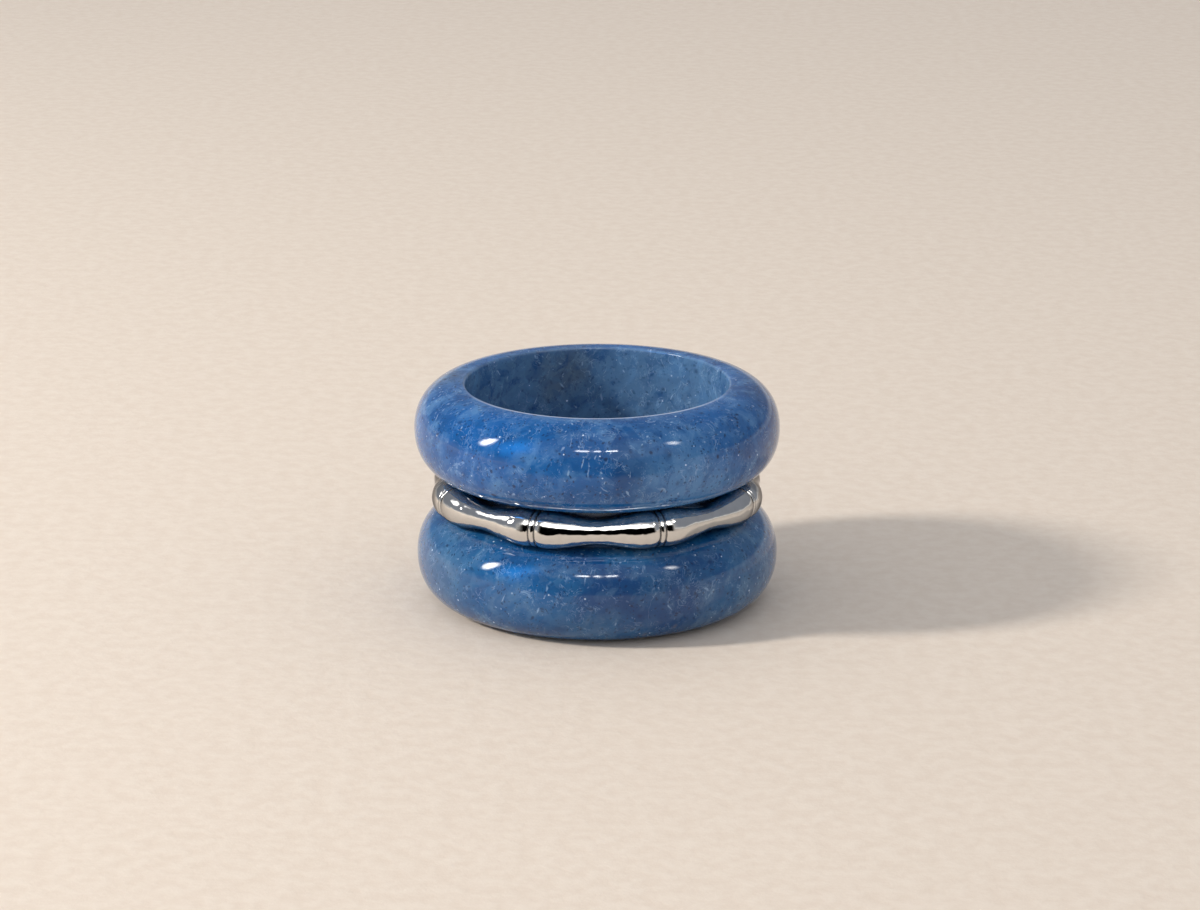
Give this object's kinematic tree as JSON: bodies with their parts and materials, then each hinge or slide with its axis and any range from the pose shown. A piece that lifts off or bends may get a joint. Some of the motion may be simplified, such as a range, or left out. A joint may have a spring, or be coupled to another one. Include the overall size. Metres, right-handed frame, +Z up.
{
  "type": "stackable ring",
  "caption": "Stackable finger ring: domed polished stone bands above and below a polished metal band cast like jointed bamboo cane.",
  "frame": {"origin": "centre of the ring's axis on the flat face that the stack rests on", "axes": "+Z up along the ring's axis, -Y towards the viewer, where the middle of one cane segment faces; +X to the viewer's right"},
  "size_m": [0.024, 0.024, 0.0146],
  "materials": {
    "stone": "polished, slightly translucent blue quartz with cloudy patches and fine specks",
    "metal": "mirror-polished silver"
  },
  "bodies": {
    "root": {"lower_stone_band": "stone", "bamboo_band": "metal", "upper_stone_band": "stone"}
  },
  "joints": []
}
